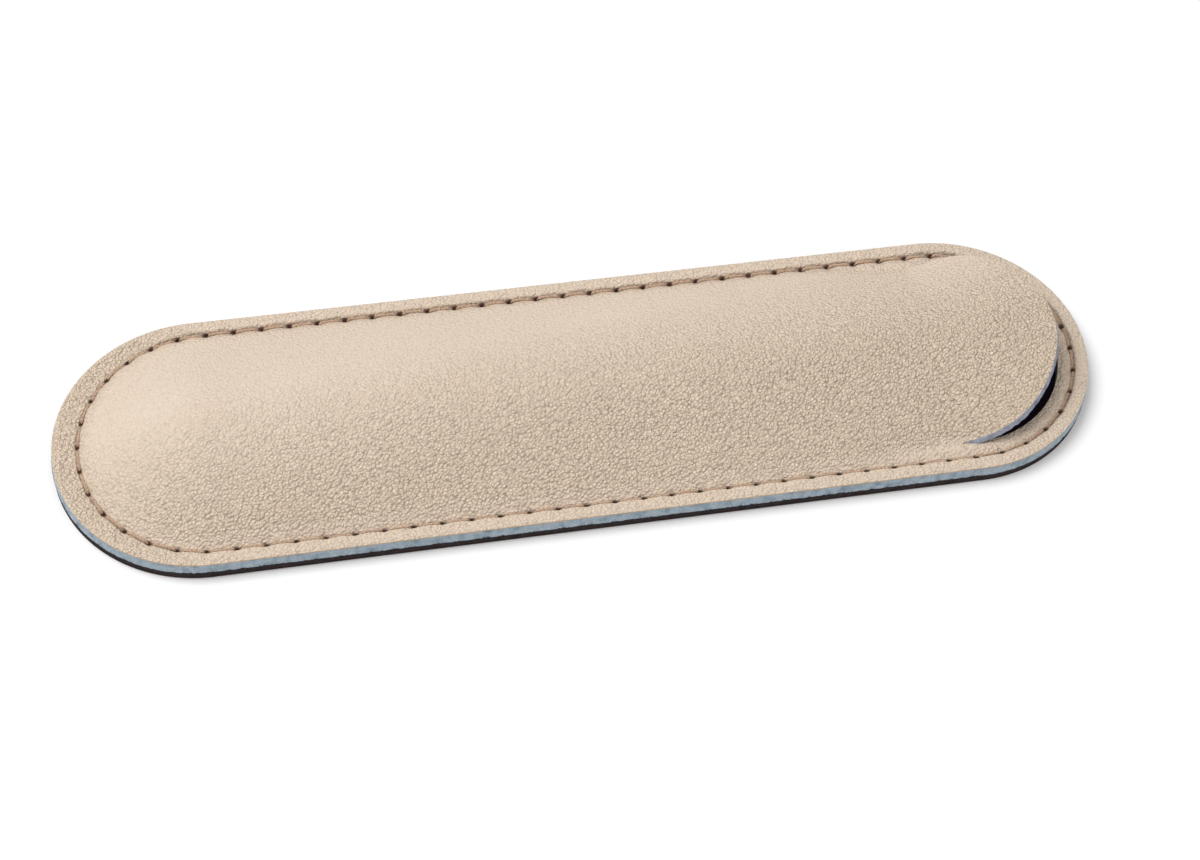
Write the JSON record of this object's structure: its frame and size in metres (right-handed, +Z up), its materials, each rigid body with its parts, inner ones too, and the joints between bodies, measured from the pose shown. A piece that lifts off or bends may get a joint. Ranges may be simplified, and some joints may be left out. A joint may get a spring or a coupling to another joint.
{
  "type": "pen sleeve",
  "caption": "Flat leather pen sleeve with round ends: a domed front sewn to a flat back, with a curved slit whose springy lip lifts to let the pen in.",
  "frame": {"origin": "middle of the back panel's outer face, on the surface that the sleeve lies on", "axes": "+X along the sleeve towards the mouth, +Z up through the domed front"},
  "size_m": [0.131, 0.036, 0.0085],
  "materials": {
    "front_leather": "cream pebbled grain, soft satin",
    "back_leather": "brown fine grain, matte",
    "cement": "dried contact cement",
    "needle_thread": "twisted tan polyester",
    "bobbin_thread": "twisted copper polyester"
  },
  "bodies": {
    "sleeve": {"front_panel": "front_leather", "back_panel": "back_leather", "seam_cement": "cement", "needle_thread": "needle_thread", "bobbin_thread": "bobbin_thread"},
    "lip": {"mouth_lip": "front_leather"}
  },
  "joints": [
    {"name": "lip_lift", "type": "hinge", "parent": "sleeve", "child": "lip", "pos_m": [0.0452, 0, 0.00847], "axis": [0, -1, 0], "range_deg": [0, 25], "stiffness_Nm_per_rad": 0.003}
  ]
}
